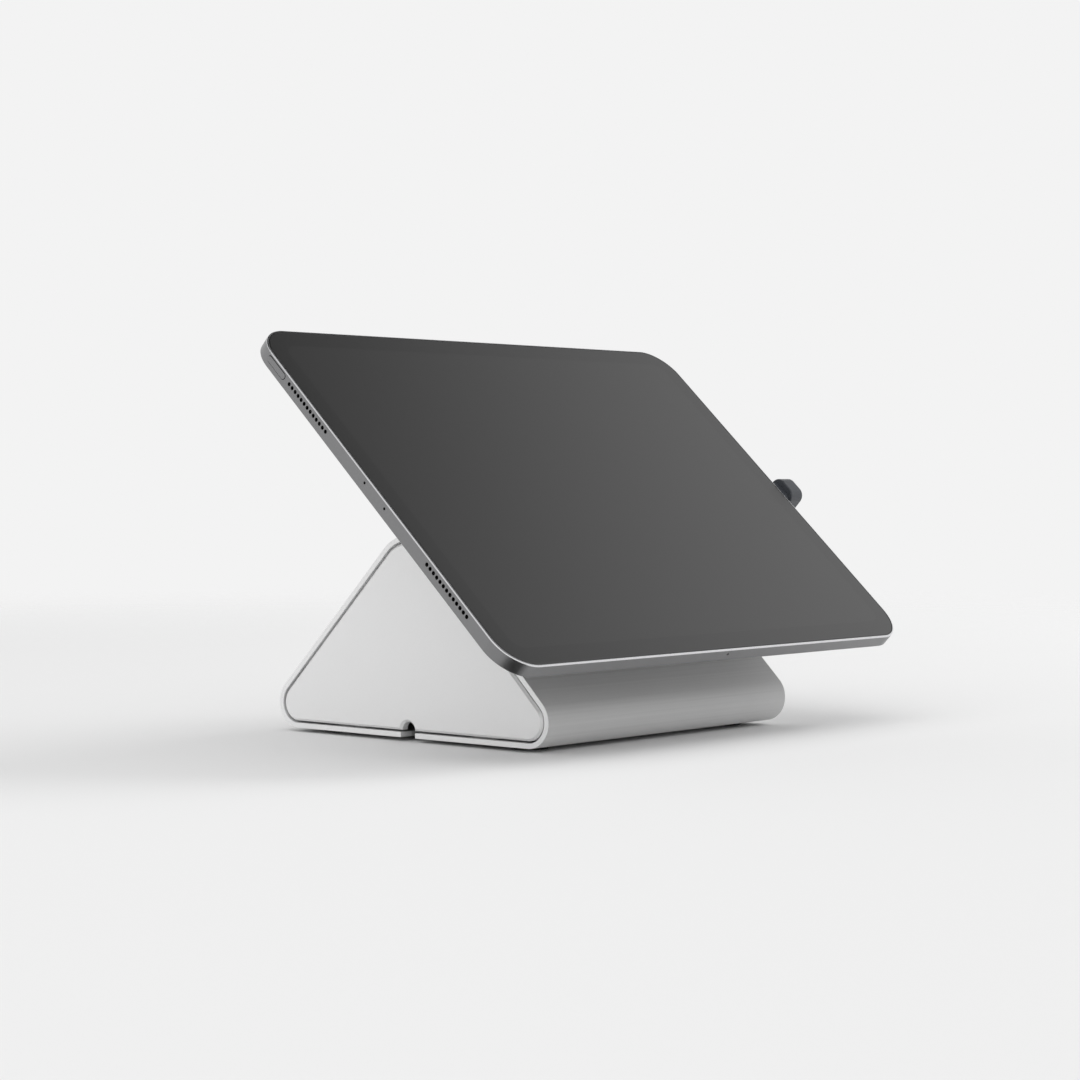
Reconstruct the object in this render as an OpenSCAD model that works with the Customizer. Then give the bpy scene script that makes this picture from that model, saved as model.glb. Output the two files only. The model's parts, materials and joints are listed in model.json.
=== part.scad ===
// Tablet kiosk stand: a triangular base shell closed by two side panels, a friction
// tilt hinge on its front slope, and a slim tablet bonded to the hinge's plate.
// X runs along the width, -Y is the front and Z is up.
// The origin is the middle of the shell's underside; the feet reach below it.

/* [Base shell] */
// Width of the shell, end to end
base_width = 149; // [125:1:190]
// Depth of the shell, front corner to rear corner
base_depth = 142.2; // [130:0.1:170]
// Angle of both sloping walls above the table
base_slope = 45; // [42:0.5:48]
// Outer radius of the two corners at the table
bottom_corner_r = 10; // [8:0.5:13]
// Outer radius of the ridge
top_corner_r = 18; // [14:0.5:22]
// Thickness of the shell's wall
shell_wall = 2; // [1.6:0.1:3]

/* [Side panels] */
// Thickness of a panel
panel_thickness = 3.6; // [3:0.1:5]
// Gap between a panel's edge and the shell's inner wall
panel_gap = 0.85; // [0.5:0.05:1.2]
// Chamfer round a panel's outer face
panel_chamfer = 0.9; // [0.4:0.1:1.2]
// How far a panel's face stands out of the shell's end
panel_proud = 0.3; // [0:0.1:0.8]
// Depth of the rim that locates a panel inside the shell
rim_depth = 6; // [4:0.5:9]
// Wall of that rim
rim_wall = 2.4; // [1.6:0.1:3]
// Gap between that rim and the shell's inner wall
rim_clearance = 0.15; // [0.1:0.05:0.3]
// Height above the underside where that rim starts
rim_start = 24; // [20:1:30]
// Length of a panel's screw tab, along X
tab_length = 13; // [11:0.5:16]
// Width of a panel's screw tab, along Y
tab_width = 12; // [10:0.5:16]
// Height of a panel's screw tab
tab_height = 8; // [7:0.5:9]
// Distance between a panel's two screw tabs
tab_spacing = 70; // [60:1:74]
// How far behind the panel a tab's sole starts, out of sight of the gap
tab_relief = 3; // [2:0.1:3.5]

/* [Cable passage] */
// Radius of the arch in a panel's lower edge
arch_r = 3.35; // [2.8:0.05:4]
// Width of the slot in the shell's floor
slot_width = 7.5; // [6.8:0.1:9]
// Length of that slot, from the shell's end
slot_length = 12; // [10:0.5:15]

/* [Feet, ballast and counter bolts] */
// Diameter of a rubber foot
foot_d = 14; // [11:0.5:16]
// Height of a rubber foot
foot_height = 1.6; // [1.2:0.1:3]
// Chamfer round a foot's sole
foot_chamfer = 0.4; // [0.2:0.1:0.6]
// Distance from the shell's end to a foot's centre
foot_end_inset = 14; // [12:0.5:16]
// Distance from the end of the flat underside to a foot's centre
foot_corner_inset = 11; // [9:0.5:12]
// Thickness of the steel ballast plate
ballast_thickness = 6; // [4:0.5:7]
// Distance from the shell's end to the ballast plate
ballast_end_inset = 22.5; // [21:0.5:30]
// Depth of the ballast plate
ballast_depth = 90; // [82:1:100]
// Distance from the ballast plate's edges to its screws
ballast_screw_inset = 11; // [9:0.5:14]
// Distance between the two counter bolt holes
counter_bolt_spacing = 50; // [40:1:60]
// Diameter of a counter bolt hole
counter_bolt_d = 6.6; // [5.5:0.1:7]

/* [Tilt hinge] */
// Angle of the screen above the table, as it stands
screen_tilt = 43; // [38:0.5:48]
// Height of the hinge's axis above the slope
hinge_height = 12; // [11.5:0.1:14]
// How far the axis stands past the upper end of the flat slope
hinge_past_top = 1.5; // [0:0.1:3]
// Distance from the axis to the tablet's back
hinge_to_tablet = 12; // [11.5:0.1:15]
// Outer radius of the hinge's ears and barrel
knuckle_r = 7; // [6.4:0.1:7.2]
// Radius of the hinge pin
pin_r = 4; // [3.4:0.1:4.2]
// Running clearance round the pin, on the radius
pin_clearance = 0.05; // [0.02:0.01:0.08]
// Wall of the bush in the barrel
bush_wall = 1; // [0.8:0.1:1.2]
// Distance between the inner faces of the two ears
ear_spacing = 24; // [20:1:25]
// Thickness of an ear, along X
ear_thickness = 10; // [8:0.5:12]
// Thickness of a friction washer
friction_washer_t = 0.5; // [0.4:0.05:0.8]
// Clearance on each side of a friction washer
washer_clearance = 0.05; // [0.03:0.01:0.1]
// Thickness of the bracket's foot on the slope
bracket_thickness = 6; // [5:0.5:6.5]
// Length of the bracket's foot, along the slope
bracket_length = 42; // [38:1:48]
// Width of the bracket's foot
bracket_width = 62; // [58:1:70]
// Thickness of the plate inside the slope
backing_thickness = 3; // [2:0.5:4]
// Distance between the bracket screws along X
bracket_screw_spacing = 48; // [42:1:50]
// Distance between the bracket screws along the slope
bracket_screw_pitch = 24; // [20:1:26]

/* [Mounting plate] */
// Width of the plate behind the tablet
plate_width = 100; // [90:1:130]
// Height of the plate behind the tablet
plate_height = 90; // [60:1:100]
// Thickness of that plate
plate_thickness = 3; // [2.5:0.1:3.4]
// Radius of its corners
plate_corner_r = 8; // [4:0.5:12]
// Thickness of the adhesive pad
pad_thickness = 1; // [0.5:0.1:1.2]
// Distance from the plate's edge to the pad's edge
pad_inset = 2; // [1:0.5:4]

/* [Tablet] */
// Width of the tablet
tablet_width = 247.6; // [235:0.1:262]
// Height of the tablet
tablet_height = 178.5; // [168:0.1:190]
// Thickness of the tablet
tablet_t = 5.9; // [5.6:0.1:6.6]
// Radius of its corners
tablet_corner_r = 15; // [12:0.5:18]
// Radius of its rear edge
rear_edge_r = 0.5; // [0.3:0.1:1]
// Chamfer of its front edge
front_chamfer = 0.5; // [0.3:0.05:0.6]
// Wall of the housing's sides
side_wall = 2.2; // [1.8:0.1:2.6]
// Wall of the housing's back
back_wall = 0.8; // [0.6:0.05:1]
// Width of the housing's flat rim round the glass
glass_rim = 0.2; // [0.1:0.05:0.4]
// Width of the gasket round the glass
gasket_width = 0.3; // [0.2:0.05:0.4]
// How far the gasket lies below the glass's face
gasket_drop = 0.15; // [0.05:0.05:0.3]
// Thickness of the glass
glass_t = 0.75; // [0.5:0.05:0.8]
// Width of the border round the lit area
bezel = 9; // [8.8:0.1:11]
// Thickness of the display
display_t = 1.5; // [1.2:0.1:1.7]

/* [Tablet edge] */
// Depth of the holes and buttons below the screen's face
edge_line_depth = 2.4; // [2.3:0.05:2.7]
// Diameter of a speaker hole
speaker_hole_d = 1.6; // [1:0.1:1.7]
// Distance between speaker holes
speaker_hole_pitch = 2.18; // [1.9:0.01:2.2]
// Speaker holes in a row
speaker_hole_count = 13; // [9:1:13]
// Distance from the tablet's upper and lower edges to a speaker row's middle
speaker_row_inset = 41.25; // [41:0.25:46]
// How far both rows lie below that, towards the lower edge
speaker_row_drop = 0.6; // [0.4:0.1:1]
// Diameter of a microphone hole
mic_hole_d = 0.9; // [0.6:0.1:1.2]
// Distance between the two microphone holes of the left edge
mic_spacing = 13.6; // [10:0.1:18]
// Distance from the middle to the microphone hole of the lower edge
lower_mic_offset = 1.7; // [0:0.1:5]
// Width of a button's cap
button_width = 2.4; // [2:0.1:2.6]
// How far a button's cap stands out
button_proud = 0.25; // [0.15:0.05:0.4]
// Travel of a button
button_travel = 0.35; // [0.2:0.05:0.4]
// Gap round a button's cap
button_gap = 0.2; // [0.15:0.05:0.3]
// Length of the power button
power_length = 12; // [10:0.5:12.5]
// Distance from the end of the corner's curve to the power button's middle
power_past_corner = 4.4; // [4.3:0.1:5]
// Length of a volume button
volume_length = 10.5; // [8:0.5:12]
// Distance from the left edge to the volume up button
volume_up_inset = 33; // [28:0.5:35]
// Distance from the left edge to the volume down button
volume_down_inset = 48; // [46:0.5:55]

/* [Rear camera] */
// Outer radius of the camera's ring
camera_r = 6.5; // [5:0.1:6.8]
// How far the ring stands off the tablet's back
camera_height = 1.2; // [0.8:0.1:2]
// Distance from the tablet's edges to the camera
camera_inset = 16; // [13:0.5:17]

/* [Charging plug] */
// Distance from the tablet's edge to the plug's body
plug_standoff = 3.9; // [2:0.1:5]
// Thickness of the plug's body, along X
plug_thickness = 8.1; // [6:0.1:10]
// Width of the plug's body, along the tablet's edge
plug_width = 12.6; // [11:0.1:15]
// How far the plug's body stands above the screen
plug_above = 1.9; // [0.5:0.1:3]
// How far the plug's body reaches behind the tablet
plug_behind = 12; // [8:0.5:16]
// Radius of the plug's corners
plug_corner_r = 4; // [2:0.1:5]
// Depth of the plug's middle below the screen's face
plug_depth = 2.6; // [2.5:0.05:2.8]

/* [Hidden] */
$fn = 64;
eps = 0.01;
over = 1;

// Outline of the base: where its three sides would meet, and the centres of its corners
bottom_flat = base_depth / 2 - bottom_corner_r;
sharp_corner_y = bottom_flat + bottom_corner_r / tan(base_slope / 2);
ridge_z = sharp_corner_y * tan(base_slope);
top_centre = [0, ridge_z - top_corner_r / cos(base_slope)];
function low_centre(side) = [side * bottom_flat, bottom_corner_r];
function slope_normal(side) = [side * sin(base_slope), cos(base_slope)];

// Hinge axis, up the front slope and off it
slope_top = top_centre + top_corner_r * slope_normal(-1);
hinge_axis = slope_top
    + hinge_past_top * [cos(base_slope), sin(base_slope)]
    + hinge_height * slope_normal(-1);

// Screws
screw_r = 2;
screw_clearance = 0.05;
screw_head_r = 3.9;
screw_head_h = 1.9;
shell_hole_clearance = 0.2;
socket_r = 1.3;
socket_depth = 1.2;
pan_head_r = 3.6;
pan_head_h = 2.6;
bracket_thread = 4.6;
thread_relief = 0.4;

// Hinge stack along X
ear_inner = ear_spacing / 2;
ear_outer = ear_inner + ear_thickness;
barrel_half = ear_inner - friction_washer_t - 2 * washer_clearance;
ear_foot_low = 31;
ear_foot_high = 3;
ear_web_overlap = 0.6;
ear_web_front = 115;
ear_web_rear = -20;
bracket_top = 8;
pin_head_r = 6.4;
pin_head_h = 4;
spring_t = 0.8;
spring_rise = 0.4;
spring_gap = 0.1;
spring_count = 2;
spring_outer_r = 6.6;
spring_pitch = spring_t + spring_rise + spring_gap;
nut_start = ear_outer + spring_count * spring_pitch + spring_gap;
nut_h = 5;
nut_r = 7.2;
pin_end = nut_start + nut_h + over;

// Layers of the tablet, measured from its back
glass_inset = front_chamfer + glass_rim + gasket_width;
glass_z = tablet_t - glass_t;
display_z = glass_z - display_t;
edge_z = tablet_t - edge_line_depth;
inner_gap = 0.1;
power_y = tablet_height / 2 - tablet_corner_r - power_past_corner;
function speaker_row_y(row) = row * (tablet_height / 2 - speaker_row_inset) - speaker_row_drop;

// Batteries, board and speakers
board_width = 26;
inner_margin = 12;
battery_width = tablet_width / 2 - board_width / 2 - 2 * inner_margin;
battery_height = tablet_height - 3 * inner_margin;
speaker_depth = 9;
speaker_margin = 0.5;
inner_top = display_z - inner_gap;

// Buttons and what is behind them
flange_t = 0.6;
flange_lip = 0.1;
flange_gap = 0.2;
switch_gap = 0.15;
switch_t = 1.6;
button_depth = side_wall + flange_gap + flange_t;
switch_start = button_depth + button_travel + switch_gap;

// Charging socket and plug
port_width = 8.6;
port_height = 2.7;
port_clearance = 0.1;
socket_wall = 0.3;
socket_length = 6;
tongue_width = 6.6;
tongue_t = 0.7;
tongue_length = 4.5;
shell_wall_t = 0.3;
shell_reach = 5.2;
nose_width = 10.4;
nose_height = 4.2;
nose_gap = 0.3;

// A 2D shape in the Y-Z plane, extruded along X from one place to another
module along_x(from, to) {
    translate([from, 0, 0]) rotate([90, 0, 90]) linear_extrude(to - from) children();
}

// A round bar along X
module bar_x(from, to, r) {
    translate([from, 0, 0]) rotate([0, 90, 0]) cylinder(h = to - from, r = r);
}

// The base's end view, drawn in from the outside by an inset
module end_profile(inset) {
    low_r = bottom_corner_r - inset;
    top_r = top_corner_r - inset;
    polygon([
        low_centre(-1) + low_r * slope_normal(-1), low_centre(-1) - [0, low_r],
        low_centre(1) - [0, low_r], low_centre(1) + low_r * slope_normal(1),
        top_centre + top_r * slope_normal(1), top_centre + top_r * slope_normal(-1)
    ]);
    for (side = [-1, 1]) translate(low_centre(side)) circle(low_r);
    translate(top_centre) circle(top_r);
}

// A rectangle with round corners
module rounded_rect(width, height, r) {
    square([width - 2 * r, height], center = true);
    square([width, height - 2 * r], center = true);
    for (sx = [-1, 1], sy = [-1, 1])
        translate([sx * (width / 2 - r), sy * (height / 2 - r)]) circle(r);
}

// A slot shape with half-round ends, along X
module stadium(length, width) {
    square([length - width, width], center = true);
    for (s = [-1, 1]) translate([s * (length - width) / 2, 0]) circle(width / 2);
}

// Origin on the hinge axis: Y up the slope, Z out of it
module at_slope() {
    translate([0, hinge_axis[0], hinge_axis[1]]) rotate([base_slope, 0, 0]) children();
}

// Origin on the hinge axis: Y up the screen, Z out of it
module at_screen() {
    translate([0, hinge_axis[0], hinge_axis[1]]) rotate([screen_tilt, 0, 0]) children();
}

// Origin in the middle of the tablet's back
module at_tablet() {
    at_screen() translate([0, 0, hinge_to_tablet]) children();
}

// Places of the fasteners and feet
module at_tabs() {
    for (sx = [-1, 1], sy = [-1, 1])
        translate([sx * (base_width / 2 + panel_proud - panel_thickness - tab_length / 2),
            sy * tab_spacing / 2, 0]) children();
}

module at_ballast_screws() {
    for (sx = [-1, 1], sy = [-1, 1])
        translate([sx * (base_width / 2 - ballast_end_inset - ballast_screw_inset),
            sy * (ballast_depth / 2 - ballast_screw_inset), 0]) children();
}

module at_counter_bolts() {
    for (sx = [-1, 1]) translate([sx * counter_bolt_spacing / 2, 0, 0]) children();
}

module at_bracket_screws() {
    at_slope() for (sx = [-1, 1], sy = [-1, 1])
        translate([sx * bracket_screw_spacing / 2,
            -bracket_top - bracket_length / 2 + sy * bracket_screw_pitch / 2, 0]) children();
}

// A countersunk screw driven upwards, its head flush at Z = 0
module countersunk_screw(length) {
    difference() {
        union() {
            cylinder(h = length, r = screw_r);
            cylinder(h = screw_head_h, r1 = screw_head_r, r2 = screw_r);
        }
        translate([0, 0, -eps]) cylinder(h = socket_depth, r = socket_r, $fn = 6);
    }
}

// The hole that such a screw passes through in the shell's floor
module countersunk_hole() {
    translate([0, 0, -over]) cylinder(h = shell_wall + 2 * over, r = screw_r + shell_hole_clearance);
    translate([0, 0, -eps]) cylinder(h = screw_head_h,
        r1 = screw_head_r + shell_hole_clearance, r2 = screw_r + shell_hole_clearance);
}

// Base shell: one extruded tube, slotted for the cable at both ends
module base_shell() {
    color("silver") difference() {
        along_x(-base_width / 2, base_width / 2) difference() {
            end_profile(0);
            end_profile(shell_wall);
        }
        for (side = [-1, 1])
            translate([side * base_width / 2, 0, 0])
                cube([2 * slot_length, slot_width, 3 * shell_wall], center = true);
        at_tabs() countersunk_hole();
        at_ballast_screws() countersunk_hole();
        at_counter_bolts()
            translate([0, 0, -over]) cylinder(h = shell_wall + 2 * over, d = counter_bolt_d);
        at_bracket_screws()
            translate([0, 0, -hinge_height - shell_wall - over])
                cylinder(h = shell_wall + 2 * over, r = screw_r + shell_hole_clearance);
    }
}

// Right side panel: chamfered face, arch for the cable, locating rim and two screw tabs
module side_panel() {
    inset = shell_wall + panel_gap;
    face = base_width / 2 + panel_proud;
    inner = face - panel_thickness;
    difference() {
        union() {
            hull() {
                along_x(inner, face - panel_chamfer) end_profile(inset);
                along_x(face - eps, face) end_profile(inset + panel_chamfer);
            }
            along_x(inner - rim_depth, inner) difference() {
                intersection() {
                    end_profile(shell_wall + rim_clearance);
                    translate([-base_depth, rim_start]) square([2 * base_depth, ridge_z]);
                }
                end_profile(shell_wall + rim_clearance + rim_wall);
            }
            for (side = [-1, 1])
                translate([inner - tab_length, side * tab_spacing / 2 - tab_width / 2, shell_wall]) {
                    cube([tab_length - tab_relief, tab_width, tab_height]);
                    translate([0, 0, panel_gap]) cube([tab_length + eps, tab_width, tab_height - panel_gap]);
                }
        }
        translate([0, 0, inset]) bar_x(inner - over, face + over, arch_r);
        translate([face - panel_chamfer, 0, inset]) rotate([0, 90, 0])
            cylinder(h = panel_chamfer + eps, r1 = arch_r, r2 = arch_r + panel_chamfer + eps);
        at_tabs() cylinder(h = shell_wall + tab_height + over, r = screw_r + screw_clearance);
    }
}

module right_side_panel() {
    color("gainsboro") side_panel();
}

module left_side_panel() {
    color("gainsboro") mirror([1, 0, 0]) side_panel();
}

module panel_screws() {
    color("dimgray") at_tabs() countersunk_screw(shell_wall + tab_height - over);
}

module ballast_plate() {
    ballast_top = shell_wall + ballast_thickness;
    color("slategray") difference() {
        translate([0, 0, shell_wall]) linear_extrude(ballast_thickness)
            rounded_rect(base_width - 2 * ballast_end_inset, ballast_depth, screw_head_r);
        at_ballast_screws() cylinder(h = ballast_top + over, r = screw_r + screw_clearance);
        at_counter_bolts() cylinder(h = ballast_top + over, d = counter_bolt_d);
    }
}

module ballast_screws() {
    color("dimgray") at_ballast_screws() countersunk_screw(shell_wall + ballast_thickness - over);
}

// Rubber foot: sx and sy choose its corner
module foot(sx, sy) {
    foot_x = sx * (base_width / 2 - foot_end_inset);
    foot_y = sy * (bottom_flat - foot_corner_inset);
    color("black") translate([foot_x, foot_y, -foot_height]) {
        cylinder(h = foot_chamfer, d1 = foot_d - 2 * foot_chamfer, d2 = foot_d);
        translate([0, 0, foot_chamfer]) cylinder(h = foot_height - foot_chamfer, d = foot_d);
    }
}

// Hinge bracket: a foot on the slope and two ears that hold the pin
module hinge_bracket() {
    function in_knuckle(angle) = (knuckle_r - ear_web_overlap) * [cos(angle), sin(angle)];
    color("lightgray") difference() {
        at_slope() difference() {
            union() {
                translate([0, -bracket_top - bracket_length / 2, -hinge_height])
                    linear_extrude(bracket_thickness)
                        rounded_rect(bracket_width, bracket_length, bracket_thickness);
                for (start = [-ear_outer, ear_inner])
                    along_x(start, start + ear_thickness) {
                        circle(knuckle_r);
                        polygon([[-ear_foot_low, -hinge_height], [-ear_foot_high, -hinge_height],
                            in_knuckle(ear_web_rear), in_knuckle(ear_web_front)]);
                    }
            }
            bar_x(-ear_outer - over, ear_outer + over, pin_r + pin_clearance);
        }
        at_bracket_screws()
            translate([0, 0, -hinge_height - over])
                cylinder(h = bracket_thread + over, r = screw_r + screw_clearance);
    }
}

// Backing plate: spreads the bracket's load inside the slope
module backing_plate() {
    color("slategray") difference() {
        at_slope()
            translate([0, -bracket_top - bracket_length / 2, -hinge_height - shell_wall - backing_thickness])
                linear_extrude(backing_thickness)
                    rounded_rect(bracket_width - 2 * pad_inset, bracket_length - 2 * pad_inset, screw_head_r);
        at_bracket_screws()
            translate([0, 0, -hinge_height - shell_wall - backing_thickness - over])
                cylinder(h = backing_thickness + 2 * over, r = screw_r + shell_hole_clearance);
    }
}

module bracket_screws() {
    head = -hinge_height - shell_wall - backing_thickness - pan_head_h;
    shank_end = -hinge_height + bracket_thread - thread_relief;
    color("dimgray") at_bracket_screws() translate([0, 0, head]) difference() {
        union() {
            cylinder(h = pan_head_h, r = pan_head_r);
            cylinder(h = shank_end - head, r = screw_r);
        }
        translate([0, 0, -eps]) cylinder(h = socket_depth, r = socket_r, $fn = 6);
    }
}

// Hinge pin: a shoulder bolt with its head at the left ear
module hinge_pin() {
    color("darkgray") at_slope() {
        bar_x(-ear_outer - over, pin_end, pin_r);
        bar_x(-ear_outer - pin_head_h, -ear_outer, pin_head_r);
    }
}

module hinge_nut() {
    color("darkgray") at_slope() difference() {
        translate([nut_start, 0, 0]) rotate([0, 90, 0]) cylinder(h = nut_h, r = nut_r, $fn = 6);
        bar_x(nut_start - over, nut_start + nut_h + over, pin_r + screw_clearance);
    }
}

// Disc springs: coned washers that keep the friction steady
module disc_springs() {
    color("gray") at_slope() for (i = [0 : spring_count - 1])
        translate([ear_outer + spring_gap + i * spring_pitch, 0, 0]) rotate([0, 90, 0])
            rotate_extrude() polygon([
                [pin_r + screw_clearance, spring_rise], [spring_outer_r, 0],
                [spring_outer_r, spring_t], [pin_r + screw_clearance, spring_rise + spring_t]
            ]);
}

// Friction washer between an ear and the barrel
module friction_washer(side) {
    inner = barrel_half + washer_clearance;
    color("tan") at_slope() rotate([0, 0, side < 0 ? 180 : 0]) difference() {
        bar_x(inner, inner + friction_washer_t, knuckle_r);
        bar_x(inner - over, inner + friction_washer_t + over, pin_r + screw_clearance);
    }
}

// Mounting plate: carries the tablet, with the hinge's barrel on its back
module mounting_plate() {
    plate_z = hinge_to_tablet - pad_thickness - plate_thickness;
    color("lightgray") at_screen() difference() {
        union() {
            translate([0, 0, plate_z]) linear_extrude(plate_thickness)
                rounded_rect(plate_width, plate_height, plate_corner_r);
            bar_x(-barrel_half, barrel_half, knuckle_r);
            along_x(-barrel_half, barrel_half)
                polygon([[-knuckle_r, 0], [knuckle_r, 0],
                    [2 * knuckle_r, plate_z + eps], [-2 * knuckle_r, plate_z + eps]]);
        }
        bar_x(-barrel_half - over, barrel_half + over, pin_r + pin_clearance + bush_wall);
    }
}

module hinge_bush() {
    color("tan") at_screen() difference() {
        bar_x(-barrel_half, barrel_half, pin_r + pin_clearance + bush_wall);
        bar_x(-barrel_half - over, barrel_half + over, pin_r + pin_clearance);
    }
}

module adhesive_pad() {
    color("black") at_tablet() translate([0, 0, -pad_thickness]) linear_extrude(pad_thickness)
        rounded_rect(plate_width - 2 * pad_inset, plate_height - 2 * pad_inset, plate_corner_r - pad_inset);
}

// The tablet's outline, drawn in by an inset
module tablet_outline(inset) {
    rounded_rect(tablet_width - 2 * inset, tablet_height - 2 * inset, tablet_corner_r - inset);
}

// The tablet's outer form: round at the rear edge, chamfered at the front
module tablet_form() {
    edge_steps = 5;
    profile = concat(
        [[0, 0]],
        [for (i = [0 : edge_steps]) let (a = 90 * i / edge_steps)
            [tablet_corner_r - rear_edge_r + rear_edge_r * sin(a), rear_edge_r - rear_edge_r * cos(a)]],
        [[tablet_corner_r, tablet_t - front_chamfer],
            [tablet_corner_r - front_chamfer, tablet_t], [0, tablet_t]]
    );
    hull() for (sx = [-1, 1], sy = [-1, 1])
        translate([sx * (tablet_width / 2 - tablet_corner_r), sy * (tablet_height / 2 - tablet_corner_r), 0])
            rotate_extrude($fn = 48) polygon(profile);
}

// A round hole into the left or right edge
module edge_hole(side, y, d) {
    translate([side * tablet_width / 2, y, edge_z]) rotate([0, 90, 0])
        cylinder(h = 3 * side_wall, d = d, center = true);
}

// Origin on the power button's place: Z points out of the tablet, X along the edge
module at_power() {
    translate([-tablet_width / 2, power_y, edge_z]) rotate([0, -90, 0]) rotate([0, 0, 90]) children();
}

// Origin on a volume button's place: Z points out of the tablet, X along the edge
module at_volume(inset) {
    translate([-tablet_width / 2 + inset, tablet_height / 2, edge_z]) rotate([-90, 0, 0]) children();
}

// Opening for a button's cap
module button_opening(length) {
    translate([0, 0, -side_wall - over]) linear_extrude(side_wall + 2 * over)
        stadium(length + 2 * button_gap, button_width + 2 * button_gap);
}

// A button: a cap that stands in its opening and a flange behind the wall
module button(length) {
    translate([0, 0, -button_depth + flange_t]) linear_extrude(button_depth - flange_t + button_proud)
        stadium(length, button_width);
    translate([0, 0, -button_depth]) linear_extrude(flange_t)
        stadium(length + 2 * (button_gap + flange_lip), button_width + 2 * (button_gap + flange_lip));
}

// Tablet housing: a thin tray with its edge openings
module tablet_housing() {
    color("gray") at_tablet() difference() {
        tablet_form();
        translate([0, 0, glass_z]) linear_extrude(glass_t + over) tablet_outline(glass_inset - gasket_width);
        translate([0, 0, back_wall]) linear_extrude(tablet_t) tablet_outline(side_wall);
        for (side = [-1, 1], row = [-1, 1], i = [0 : speaker_hole_count - 1])
            edge_hole(side, speaker_row_y(row) + (i - (speaker_hole_count - 1) / 2) * speaker_hole_pitch,
                speaker_hole_d);
        for (s = [-1, 1]) edge_hole(-1, s * mic_spacing / 2, mic_hole_d);
        translate([lower_mic_offset, -tablet_height / 2, edge_z]) rotate([90, 0, 0])
            cylinder(h = 3 * side_wall, d = mic_hole_d, center = true);
        at_power() button_opening(power_length);
        at_volume(volume_up_inset) button_opening(volume_length);
        at_volume(volume_down_inset) button_opening(volume_length);
        translate([tablet_width / 2 - side_wall - over, 0, tablet_t - plug_depth]) rotate([90, 0, 90])
            linear_extrude(side_wall + 2 * over) stadium(port_width, port_height);
        translate([-tablet_width / 2 + camera_inset, tablet_height / 2 - camera_inset, -over])
            cylinder(h = back_wall + 2 * over, r = camera_r - camera_height);
    }
}

// Gasket: the dark line between the glass and the housing
module glass_gasket() {
    color("black") at_tablet() translate([0, 0, glass_z]) linear_extrude(glass_t - gasket_drop) difference() {
        tablet_outline(glass_inset - gasket_width);
        tablet_outline(glass_inset);
    }
}

module cover_glass() {
    color("darkslategray") at_tablet() translate([0, 0, glass_z]) linear_extrude(glass_t)
        tablet_outline(glass_inset);
}

module display_panel() {
    color("black") at_tablet() translate([0, 0, display_z]) linear_extrude(display_t)
        tablet_outline(bezel);
}

// Inner parts lie on the housing's floor, under the display
module inner_block(x, y, width, height, top) {
    at_tablet() translate([x - width / 2, y - height / 2, back_wall]) cube([width, height, top - back_wall]);
}

module battery(side) {
    color("darkgreen") inner_block(side * (board_width / 2 + inner_gap + battery_width / 2), 0,
        battery_width, battery_height, inner_top);
}

module logic_board() {
    color("seagreen") inner_block(0, 0, board_width, battery_height, inner_top);
}

module speaker(side, row) {
    color("dimgray") inner_block(side * (tablet_width / 2 - side_wall - inner_gap - speaker_depth / 2),
        speaker_row_y(row), speaker_depth,
        speaker_hole_count * speaker_hole_pitch + 2 * speaker_margin, inner_top);
}

module power_switch() {
    color("dimgray") inner_block(-tablet_width / 2 + switch_start + switch_t / 2, power_y,
        switch_t, power_length / 2, edge_z + button_width / 2);
}

// One strip behind both volume buttons
module volume_switch() {
    color("dimgray") inner_block(-tablet_width / 2 + (volume_up_inset + volume_down_inset) / 2,
        tablet_height / 2 - switch_start - switch_t / 2,
        volume_down_inset - volume_up_inset + volume_length / 2, switch_t, edge_z + button_width / 2);
}

// Charging socket behind the opening in the right edge
module usb_socket() {
    mouth = tablet_width / 2 - side_wall - inner_gap;
    port_z = tablet_t - plug_depth;
    port_floor = port_z - port_height / 2 - socket_wall / 2;
    color("silver") {
        at_tablet() translate([mouth - socket_length, 0, port_z]) rotate([90, 0, 90]) {
            difference() {
                linear_extrude(socket_length)
                    stadium(port_width + 2 * socket_wall, port_height + 2 * socket_wall);
                translate([0, 0, socket_wall]) linear_extrude(socket_length)
                    stadium(port_width, port_height);
            }
            linear_extrude(tongue_length) square([tongue_width, tongue_t], center = true);
        }
        inner_block(mouth - socket_length / 2, 0, socket_length, tongue_width / 2, port_floor);
    }
}

module camera_place() {
    at_tablet() translate([-tablet_width / 2 + camera_inset, tablet_height / 2 - camera_inset, 0]) children();
}

module camera_ring() {
    color("gray") camera_place() rotate_extrude() polygon([
        [camera_r - camera_height, 0], [camera_r, 0], [camera_r, -camera_height / 2],
        [camera_r - camera_height / 2, -camera_height], [camera_r - camera_height, -camera_height]
    ]);
}

module camera_lens() {
    lens_r = camera_r - camera_height - inner_gap / 2;
    lens_front = camera_height - socket_wall;
    color("black") camera_place() translate([0, 0, -lens_front])
        cylinder(h = lens_front + back_wall - inner_gap, r = lens_r);
}

// Origin in the middle of the charging opening, Z out of the tablet's right edge, Y out of the screen
module at_port() {
    at_tablet() translate([tablet_width / 2, 0, tablet_t - plug_depth]) rotate([90, 0, 90]) children();
}

// Plug's metal shell, open at its end
module plug_contact_shell() {
    outer_width = port_width - 2 * port_clearance;
    outer_height = port_height - 2 * port_clearance;
    color("silver") at_port() translate([0, 0, -shell_reach]) difference() {
        linear_extrude(shell_reach + nose_gap) stadium(outer_width, outer_height);
        translate([0, 0, -eps]) linear_extrude(shell_reach)
            stadium(outer_width - 2 * shell_wall_t, outer_height - 2 * shell_wall_t);
    }
}

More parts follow.
